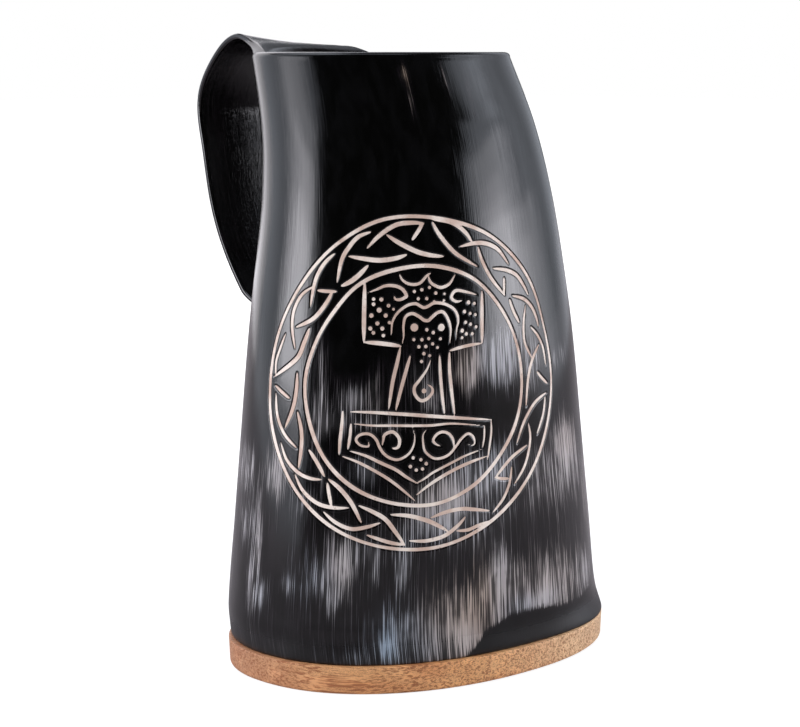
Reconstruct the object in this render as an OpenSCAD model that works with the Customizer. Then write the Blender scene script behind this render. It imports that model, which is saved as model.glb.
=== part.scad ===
// Horn drinking cup: a hollow length of horn on a wooden base, with a strap of the same horn as its handle.
// Sizes are in millimetres. The origin is the middle of the base's underside, and Z is up.
// The handle points to -X, and the long way of the oval lies along Y.

/* [Cup] */
// Height from the table to the rim
cup_h = 165; // [155:1:175]
// Long way across the horn at its foot
foot_len = 117.2; // [112:1:124]
// Short way across the horn at its foot
foot_wid = 84.9; // [82:0.1:90]
// Long way across the horn at its rim
rim_len = 76; // [72:1:80]
// Short way across the horn at its rim
rim_wid = 63.4; // [60:0.2:67]
// How far the rim has moved towards the handle
lean = 15.2; // [11:0.2:18]
// Thickness of the horn at its foot
foot_wall = 3.4; // [2.8:0.1:4]
// Thickness of the horn at its rim
rim_wall = 4.4; // [3.6:0.1:5]

/* [Base] */
// Height of the wood that shows below the horn
base_h = 7.4; // [6.6:0.2:10]
// How far the wood's side draws in towards the table
base_taper = 0.4; // [0.2:0.1:1.2]
// Size of the softened edge round the underside
base_edge = 0.6; // [0.4:0.1:1.4]
// Height of the wooden plug inside the horn
plug_h = 8; // [6:0.5:12]
// Gap round the plug, which the glue fills
plug_gap = 0.15; // [0.1:0.05:0.3]
// Thickness of the resin that seals the plug
resin_h = 1.8; // [1.2:0.1:3]
// How far the resin creeps up the horn above its flat floor
resin_creep = 1.6; // [1:0.1:2.5]

/* [Handle] */
// Width of the strap where the hand holds it
strap_wid = 36; // [32:1:40]
// Width of the strap at its foot
strap_foot_wid = 30; // [27:1:33]
// Thickness of the strap along its middle
strap_t = 2.8; // [2.4:0.1:3.4]
// Thickness of the strap along its two long edges
strap_edge_t = 1.6; // [1.2:0.1:2]
// Thickness of the bevelled end of the strap
strap_tip_t = 0.9; // [0.7:0.1:1.3]
// Radius of the sweep between the rim and the strap's edge, on the side where it is wide
near_sweep = 13; // [11:0.5:14]
// And on the other side
far_sweep = 4; // [3:0.5:6]
// How far the strap stands out past the rim
reach = 23.1; // [20:0.1:26]
// How far the middle of the strap rises above the rim
rise = 2; // [1.2:0.1:2.6]
// How far each edge of the strap is dished away from the fingers
dish = 1.3; // [1:0.1:2.2]
// How far one edge of the strap stands higher than the middle where it turns over
cant = 1.7; // [0:0.1:1.8]
// Height of the strap's lower end above the table
strap_end_z = 58; // [53:1:63]
// Length of the strap that lies flat on the horn
pad_len = 18; // [16:1:21]
// Thickness of the glue under the strap
glue_t = 0.3; // [0.2:0.05:0.4]

/* [Pegs] */
// Diameter of each peg that holds the strap's lower end
peg_d = 3.2; // [2.6:0.1:3.6]
// Distance between the two pegs
peg_pitch = 13; // [11:1:15]
// How deep each peg goes into the horn, which it does not pierce
peg_bite = 2; // [1.4:0.1:2.2]
// How far each peg stands proud of the strap
peg_proud = 0.35; // [0.2:0.05:0.5]
// Gap round each peg
peg_gap = 0.05; // [0.03:0.01:0.08]

/* [Hidden] */

// Gap on each side of the strap's glue, so that the curved faces never overlap
film_gap = 0.04;
// How far a cut runs past the surface that it opens
overrun = 2;
// Squareness of the oval at the foot and at the rim, where 2 is an ellipse
square_shares = [2.18, 2.08];
// Share of the horn's height, and how far its oval has gone from foot size to rim size
narrow_shares = [
    [0, 0], [0.04, 0.055], [0.15, 0.136], [0.35, 0.306], [0.55, 0.481], [0.75, 0.717], [0.9, 0.888], [1, 1]
];
// Share of the horn's height, and share of the lean
lean_shares = [
    [0, 0], [0.05, 0.09], [0.2, 0.1], [0.4, 0.145], [0.6, 0.22], [0.75, 0.31], [0.88, 0.555], [1, 1]
];
// The strap's middle line is pulled towards these points. Over the bend: share of the reach, and of the rise
bend_shares = [0.3, 0.81];
// Then down to the flat foot: share of the reach, and share of the way down
strap_shares = [
    [0.55, 0], [0.785, 0.06], [1.075, 0.17], [0.95, 0.31],
    [0.89, 0.49], [0.65, 0.67], [0.21, 0.84], [0.06, 0.95]
];
// And along the flat foot: share of its length
pad_shares = [0.15, 0.5, 1];
// Share of the pad that keeps its full thickness before the bevel
bevel_share = 0.35;
// Share of the pad's length over which its end is rounded off, and the width left at the very end
tip_share = 0.3;
tip_wid_share = 0.45;
// Length over which the strap turns away from the wall and thins
root_turn = 6;
// Length over which the curved wall of the rim flattens into the strap
root_blend = 11;
// Length over which the strap comes to lie along the horn
foot_blend = 26;

sides = 72;
horn_rings = 28;
strap_columns = 12;
sweep_rings = 10;
strap_rings = 34;
tip_rings = 5;
path_samples = 140;
peg_facets = 48;

horn_h = cup_h - base_h;
plug_top = base_h + plug_h;
pad_top = strap_end_z + pad_len;
glue_gap = glue_t + 2 * film_gap;

// A smooth curve through a table of [place, value]
function table_slope(table, i) =
    let (a = max(i - 1, 0), b = min(i + 1, len(table) - 1))
    (table[b][1] - table[a][1]) / (table[b][0] - table[a][0]);
function table_span(table, t, i = 0) =
    i >= len(table) - 2 || t < table[i + 1][0] ? i : table_span(table, t, i + 1);
function smooth(table, t) =
    let (
        i = table_span(table, t),
        w = table[i + 1][0] - table[i][0],
        u = (t - table[i][0]) / w
    )
    table[i][1] * (1 + 2 * u) * (1 - u) ^ 2
    + table_slope(table, i) * w * u * (1 - u) ^ 2
    + table[i + 1][1] * u ^ 2 * (3 - 2 * u)
    + table_slope(table, i + 1) * w * u ^ 2 * (u - 1);
function ease(t) = let (u = min(max(t, 0), 1)) u * u * (3 - 2 * u);
function mix(a, b, t) = a + (b - a) * t;

// The horn at height z
function horn_share(z) = (z - base_h) / horn_h;
function narrow(z) = smooth(narrow_shares, horn_share(z));
function half_wid(z) = mix(foot_wid, rim_wid, narrow(z)) / 2;
function half_len(z) = mix(foot_len, rim_len, narrow(z)) / 2;
function middle_x(z) = -lean * smooth(lean_shares, horn_share(z));
function wall_at(z) = mix(foot_wall, rim_wall, horn_share(z));
function squareness(z) = mix(square_shares[0], square_shares[1], horn_share(z));

// One ring of points at height z, with the oval of height shape_z drawn in by inset
function oval(shape_z, z, inset) =
    let (n = squareness(shape_z), a = half_wid(shape_z) - inset, b = half_len(shape_z) - inset)
    [for (j = [0:sides - 1])
        let (c = cos(360 * j / sides), s = sin(360 * j / sides))
        [middle_x(shape_z) + a * sign(c) * abs(c) ^ (2 / n), b * sign(s) * abs(s) ^ (2 / n), z]];

// X of the horn's surface on the handle's side, at y and z, drawn in by inset
function wall_x(y, z, inset) =
    let (n = squareness(z), share = abs(y) / (half_len(z) - inset))
    middle_x(z) - (half_wid(z) - inset) * (1 - share ^ n) ^ (1 / n);

// Faces between neighbouring rings of a stack
function band_faces(rings, n, closed) =
    [for (i = [0:rings - (closed ? 1 : 2)], j = [0:n - 1])
        let (k = (i + 1) % rings, m = (j + 1) % n)
        each [[i * n + j, k * n + m, k * n + j], [i * n + j, i * n + m, k * n + m]]];
// Faces that close one ring, laid as a ladder between its two halves
function cap_faces(start, n, flip) =
    [for (j = [0:n / 2 - 2])
        let (a = start + j, b = start + j + 1, c = start + n - 2 - j, d = start + n - 1 - j)
        each flip ? [[a, c, b], [a, d, c]] : [[a, b, c], [a, c, d]]];

// A ring-shaped solid: the stack's last ring joins its first
module tube(stack) {
    n = len(stack[0]);
    polyhedron([for (r = stack) each r], band_faces(len(stack), n, true));
}
// A solid closed at both ends
module block(stack) {
    n = len(stack[0]);
    last = (len(stack) - 1) * n;
    polyhedron(
        [for (r = stack) each r],
        concat(band_faces(len(stack), n, false), cap_faces(0, n, true), cap_faces(last, n, false))
    );
}

// Heights of the horn's rings, closer together at the flared foot and the rim
crowd_share = 0.35;
ring_heights = [for (i = [0:horn_rings])
    let (t = i / horn_rings)
    base_h + horn_h * mix(t, ease(t), crowd_share)];

module horn_cup() {
    color([0.09, 0.085, 0.085])
    difference() {
        tube(concat(
            [for (i = [horn_rings:-1:0]) oval(ring_heights[i], ring_heights[i], 0)],
            [for (i = [0:horn_rings]) oval(ring_heights[i], ring_heights[i], wall_at(ring_heights[i]))]
        ));
        pegs(peg_d + 2 * peg_gap, peg_bite + peg_gap, overrun);
    }
}

module wood_base() {
    plug_edge_z = plug_top - base_edge;
    edge_mid = base_edge * (1 - cos(45));
    color([0.72, 0.47, 0.28])
    block(concat(
        [
            oval(plug_top, plug_top, wall_at(plug_top) + plug_gap + base_edge),
            oval(plug_edge_z, plug_edge_z, wall_at(plug_edge_z) + plug_gap)
        ],
        [for (i = [horn_rings:-1:0])
            let (z = ring_heights[i])
            if (z < plug_edge_z) oval(z, z, wall_at(z) + plug_gap)],
        [
            oval(base_h, base_h, 0),
            oval(base_h, base_edge, base_taper),
            oval(base_h, edge_mid, base_taper + edge_mid),
            oval(base_h, 0, base_taper + base_edge)
        ]
    ));
}

// Clear resin poured over the plug, with a raised edge where it wets the horn
module base_resin() {
    top = plug_top + resin_h;
    edge = wall_at(top) + plug_gap;
    creep_mid = resin_creep * (1 - cos(45));
    color([0.3, 0.2, 0.12])
    block([
        oval(top, top, edge + resin_creep),
        oval(top + creep_mid, top + creep_mid, edge + creep_mid),
        oval(top + resin_creep, top + resin_creep, edge),
        oval(plug_top, plug_top, edge)
    ]);
}

// The strap's middle line, from inside the rim's wall, over the bend and down to the pad
root_x = wall_x(0, cup_h, rim_wall / 2);
function pad_x(z) = wall_x(0, z, 0) - glue_gap - strap_t / 2;
strap_points = concat(
    [[root_x, cup_h], [root_x - bend_shares[0] * reach, cup_h + bend_shares[1] * rise]],
    [for (p = strap_shares)
        [mix(pad_x(pad_top), wall_x(0, cup_h, 0) - reach, p[0]), mix(cup_h + rise, pad_top, p[1])]],
    [for (t = pad_shares) let (z = mix(pad_top, strap_end_z, t)) [pad_x(z), z]]
);
last_point = len(strap_points) - 1;
// Past its ends the line runs straight on, so that it starts at the rim and stops at the strap's end
function strap_point(i) =
    i < 0 ? 2 * strap_points[0] - strap_points[1]
    : i > last_point ? 2 * strap_points[last_point] - strap_points[last_point - 1]
    : strap_points[i];
function on_strap(t) =
    let (i = min(floor(t), last_point - 1), u = t - i)
    ((1 - u) ^ 3 * strap_point(i - 1) + (3 * u ^ 3 - 6 * u ^ 2 + 4) * strap_point(i)
        + (3 * u ^ 2 - 3 * u ^ 3 + 3 * u + 1) * strap_point(i + 1) + u ^ 3 * strap_point(i + 2)) / 6;
path = [for (i = [0:path_samples]) on_strap(i * last_point / path_samples)];
path_runs = [for (i = 0, run = 0; i <= path_samples;
    run = run + (i < path_samples ? norm(path[i + 1] - path[i]) : 0), i = i + 1) run];
strap_len = path_runs[path_samples];
x_table = [for (i = [0:path_samples]) [path_runs[i], path[i][0]]];
z_table = [for (i = [0:path_samples]) [path_runs[i], path[i][1]]];
function strap_at(run) = [lookup(run, x_table), lookup(run, z_table)];

// Which way the strap's outer face looks at a run along it
function strap_turn(run) =
    let (step = strap_len / path_samples)
    let (d = strap_at(min(run + step, strap_len)) - strap_at(max(run - step, 0)))
    [d[1], -d[0]] / norm(d);
function strap_normal(run) =
    let (
        free = mix([1, 0], strap_turn(run), ease(run / root_turn)),
        n = mix(free, [-1, 0], foot_hold(run))
    )
    n / norm(n);
function root_hold(run) = 1 - ease(run / root_blend);
function foot_hold(run) = ease((run - (strap_len - pad_len - foot_blend)) / foot_blend);

// Width of the strap at a run: swept out at the root, rounded off at the end
function sweep(run, r) = run >= r ? 0 : r - sqrt(r ^ 2 - (r - run) ^ 2);
function tip(run) =
    let (t = (run - (strap_len - tip_share * pad_len)) / (tip_share * pad_len))
    t <= 0 ? 1 : mix(tip_wid_share, 1, sqrt(1 - min(t, 1) ^ 2));
function strap_y(u, run) =
    let (swept = sweep(run, u < 0 ? near_sweep : far_sweep))
    u * (mix(strap_wid, strap_foot_wid, ease(run / strap_len)) / 2 + swept) * tip(run);

// Thickness of the strap at a run, before its edges are thinned
function strap_thick(run) =
    let (t = (run - (strap_len - (1 - bevel_share) * pad_len)) / ((1 - bevel_share) * pad_len))
    mix(strap_t, strap_tip_t, max(t, 0));

// The strap at u across it, from -1 to 1: how far it lags behind the middle line along X, which keeps the
// round of the rim at the root, and then the heights of its two faces
function strap_faces(u, run) =
    let (
        y = strap_y(u, run),
        p = strap_at(run),
        t = strap_thick(run),
        edge = mix(t, min(t, strap_edge_t), u ^ 2) / 2,
        k = root_hold(run),
        f = foot_hold(run),
        bow = dish * u ^ 2 - cant * u * (1 - f),
        root_in = wall_x(y, cup_h, 0) - root_x,
        root_out = wall_x(y, cup_h, rim_wall) - root_x,
        half = mix((root_out - root_in) / 2, edge, ease(run / root_turn)),
        middle = bow * (1 - k),
        pad_in = p[0] - (wall_x(y, p[1], 0) - glue_gap),
        low = mix(middle - half, pad_in, f),
        high = mix(middle + half, pad_in + 2 * half, f)
    )
    [k * (root_in + root_out) / 2, low, high];
function strap_point_at(u, run, face) =
    let (p = strap_at(run), n = strap_normal(run), d = strap_faces(u, run))
    [p[0] + d[0] + n[0] * d[face], strap_y(u, run), p[1] + n[1] * d[face]];
function strap_section(run) =
    let (us = [for (i = [0:strap_columns]) 2 * i / strap_columns - 1])
    concat(
        [for (u = us) strap_point_at(u, run, 1)],
        [for (i = [strap_columns:-1:0]) strap_point_at(us[i], run, 2)]
    );
strap_runs = concat(
    [for (i = [0:sweep_rings - 1]) near_sweep * (1 - cos(90 * i / sweep_rings))],
    [for (i = [0:strap_rings]) mix(near_sweep, strap_len - tip_share * pad_len, i / strap_rings)],
    [for (i = [1:tip_rings]) strap_len - tip_share * pad_len * (1 - sin(90 * i / tip_rings))]
);

module handle_strap() {
    color([0.11, 0.105, 0.11])
    difference() {
        block([for (run = strap_runs) strap_section(run)]);
        pegs(peg_d + 2 * peg_gap, peg_bite, overrun);
    }
}

// The glue between the strap's flat foot and the horn, kept a little inside the strap's edges
glue_inset = 1.2;
glue_rows = 6;
glue_columns = 10;
module strap_glue() {
    color([0.6, 0.5, 0.3])
    difference() {
        block([for (i = [0:glue_rows])
            let (
                z = mix(pad_top - glue_inset, strap_end_z + tip_share * pad_len, i / glue_rows),
                half = strap_foot_wid / 2 - glue_inset,
                ys = [for (j = [0:glue_columns]) mix(-half, half, j / glue_columns)]
            )
            concat(
                [for (y = ys) [wall_x(y, z, 0) - film_gap, y, z]],
                [for (j = [glue_columns:-1:0]) [wall_x(ys[j], z, 0) - film_gap - glue_t, ys[j], z]]
            )
        ]);
        pegs(peg_d + 2 * peg_gap, peg_bite, overrun);
    }
}

// Two pegs in line across the pad, as rods of diameter d that go bite into the horn and out past the strap
peg_share = 0.6;
peg_z = mix(strap_end_z, pad_top, peg_share);
module pegs(d, bite, proud) {
    for (side = [-1, 1]) {
        y = side * peg_pitch / 2;
        x = wall_x(y, peg_z, 0);
        translate([x + bite, y, peg_z])
            rotate([0, -90, 0])
                cylinder(h = bite + glue_gap + strap_t + proud, d = d, $fn = peg_facets);
    }
}

module handle_pegs() {
    color([0.28, 0.24, 0.2])
    pegs(peg_d, peg_bite, peg_proud);
}

horn_cup();
handle_strap();
wood_base();
base_resin();
strap_glue();
handle_pegs();
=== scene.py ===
import math

import bpy
import numpy as np
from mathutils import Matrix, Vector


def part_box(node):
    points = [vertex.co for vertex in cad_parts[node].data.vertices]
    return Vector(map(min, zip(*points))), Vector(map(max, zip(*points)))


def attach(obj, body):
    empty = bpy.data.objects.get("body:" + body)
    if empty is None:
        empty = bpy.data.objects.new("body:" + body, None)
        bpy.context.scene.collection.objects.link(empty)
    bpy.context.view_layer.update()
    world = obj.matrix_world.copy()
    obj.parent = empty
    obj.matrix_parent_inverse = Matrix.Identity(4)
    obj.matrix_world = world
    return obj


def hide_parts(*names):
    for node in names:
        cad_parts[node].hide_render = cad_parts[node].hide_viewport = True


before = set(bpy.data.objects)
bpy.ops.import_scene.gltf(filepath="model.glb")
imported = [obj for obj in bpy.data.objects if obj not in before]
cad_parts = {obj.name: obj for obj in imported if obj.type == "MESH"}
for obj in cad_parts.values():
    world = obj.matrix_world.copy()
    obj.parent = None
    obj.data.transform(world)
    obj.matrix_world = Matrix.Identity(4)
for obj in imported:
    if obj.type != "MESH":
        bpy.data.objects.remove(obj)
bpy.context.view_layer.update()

# Sizes are in mm here, as in the part's source, and turn into metres when a mesh is made.
MM = 0.001
SEED = 7

# ---- sizes that the part's source also uses
CUP_H, BASE_H = 165.0, 7.4
FOOT_LEN, FOOT_WID = 117.2, 84.9
RIM_LEN, RIM_WID = 76.0, 63.4
LEAN = 15.2
FOOT_WALL, RIM_WALL = 3.4, 4.4
BASE_TAPER, BASE_EDGE = 0.4, 0.6
PLUG_H, PLUG_GAP = 8.0, 0.15
RESIN_H, RESIN_CREEP = 1.8, 1.6
STRAP_WID, STRAP_FOOT_WID = 36.0, 30.0
STRAP_T, STRAP_EDGE_T, STRAP_TIP_T = 2.8, 1.6, 0.9
NEAR_SWEEP, FAR_SWEEP = 13.0, 4.0
ROOT_TURN, ROOT_BLEND, FOOT_BLEND = 6.0, 11.0, 26.0
REACH, RISE, DISH, CANT = 23.1, 2.0, 1.3, 1.7
STRAP_END_Z, PAD_LEN = 58.0, 18.0
GLUE_T, GLUE_PLAY = 0.3, 0.04
GLUE_GAP = GLUE_T + 2 * GLUE_PLAY
PEG_D = 3.2
PLUG_TOP = BASE_H + PLUG_H
PAD_TOP = STRAP_END_Z + PAD_LEN

NARROW = [(0, 0), (.04, .055), (.15, .136), (.35, .306), (.55, .481), (.75, .717), (.9, .888), (1, 1)]
LEANS = [(0, 0), (.05, .09), (.2, .1), (.4, .145), (.6, .22), (.75, .31), (.88, .555), (1, 1)]
SQUARE = (2.18, 2.08)
BEND = (0.3, 0.81)
STRAP = [(.55, 0), (.785, .06), (1.075, .17), (.95, .31), (.89, .49), (.65, .67), (.21, .84), (.06, .95)]
PAD = (.15, .5, 1)
BEVEL, TIP, TIP_WID = 0.35, 0.3, 0.45

# ---- sizes of the dressed model alone
LIP_R = 1.4  # rounding of the rim
EDGE_STEPS, EDGE_POWER = 10, 0.78  # steps over the rim and the strap's edge, and how square they are
STRAP_COLS, COLS_BEFORE, COLS_AFTER = 32, 46, 50  # columns on the strap and on each side of the roundel
SPIN_STEPS = 2880
FOOT_ROWS = [(0, .6), (.05, .3), (.17, .12), (.35, .03), (.6, 0)]  # height above the wood, inset
# Where the wall turns into the strap, one smooth bend takes the place of the corner
TURN_LOW, TURN_HIGH, TURN_PULL = -3.0, 5.0, 1.15
TURN_SIDE, TURN_RISE = 0.7, 2.5  # from here outwards it stays a corner, up to the lip
WAVES = [(.16, 3, .031, 1.1), (.12, 5, -.047, 2.3), (.05, 11, .02, 0), (.022, 23, .013, .4),
         (.09, 2, .075, 0)]  # size, turns round the cup, climb, start
TRIM, TRIM_H, TRIM_FROM, TRIM_TO = 1.45, 8.6, 50, 92  # the foot's trim, and degrees from the roundel
CALM_FOOT, CALM_RIM, CALM_TOP = 12, 25, 4  # the waves' fades, and how far under the rim they end
CALM_STRAP, CALM_SIDE = 0.5, 0.4  # where they end beside the strap, and the fade, in radians
FIBRE_R = 45.0
PALE_ALL, PALE_TOP, PALE_FADE = 0.13, 72, 30  # faint fibres all round the horn's lower half
# Stains, inside and on the strap: how pale and how warm the fibres are, how matte, how much rougher
INNER_STAIN = (0.35, 0.6, 1.0, 0.16)
LOW_STAIN, HIGH_STAIN = (0.1, 0.3, 0.3, -0.03), (0.15, 0.3, 0.1, 0.0)
WOOD_TOP = [(-0.12, 0.2), (-0.03, 0.42), (0, 0.8)]  # height from the wood's upper edge, inset
WOOD_R, PEG_R = 0.9, 0.5  # rounding of the wood's lower edge and of the pegs' ends
REF_ANGLE = math.radians(-54)  # the roundel's middle line
CELL = 0.28  # mesh spacing where the roundel is cut
ZONE_U, ZONE_Z = (-31.0, 64.0), (35.5, 124.5)  # the cut part of the unrolled horn
CUT_DEPTH, CUT_EXTRA = 0.34, 0.12
CUT_SIDE, CUT_LIP = 0.42, 0.08  # reach of a cut's sloping side, and how much of it lies outside the cut
BURR_H, BURR_AT, BURR_R = 0.02, 0.16, 0.12  # the low ridge along a cut
STROKE_TAPER, TAPER_POWER = 0.72, 3.5  # how much an open stroke narrows at its ends, and how late
FILL_LEVEL, FILL_DEPTH, FILL_SAG, FILL_GRAIN, FILL_T = -0.10, 0.07, 0.06, 0.012, 0.22

# The cuts of the roundel on the unrolled horn, in mm: (arc from the roundel's middle line, height).
# Two closed rings: width, then the middle line
RING_CUTS = [
    (1, [(-28.8, 80.4), (-25.6, 93.2), (-18.3, 105.1), (-8.5, 115.5), (4, 122.2), (19, 122.2), (35.8, 116.8),
        (51, 105.1), (58.5, 91.1), (61.8, 77.7), (59.3, 64.8), (51.3, 52.7), (38, 42.9), (21.7, 37.6),
        (5.4, 38.3), (-9.1, 44), (-20.9, 54.4), (-27.7, 67.2)]),
    (1.08, [(-16.5, 80.3), (-13.7, 90), (-8.6, 98.4), (-1.8, 105.7), (7.4, 109.4), (18.2, 110), (30, 106.1),
        (39.7, 97.7), (45.9, 88), (48, 78), (46.2, 68.4), (40.3, 59.9), (31.5, 52.8), (20.2, 48.8),
        (8.5, 49.4), (-2.1, 53.4), (-10.4, 60.8), (-15.1, 70.3)]),
]
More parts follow.
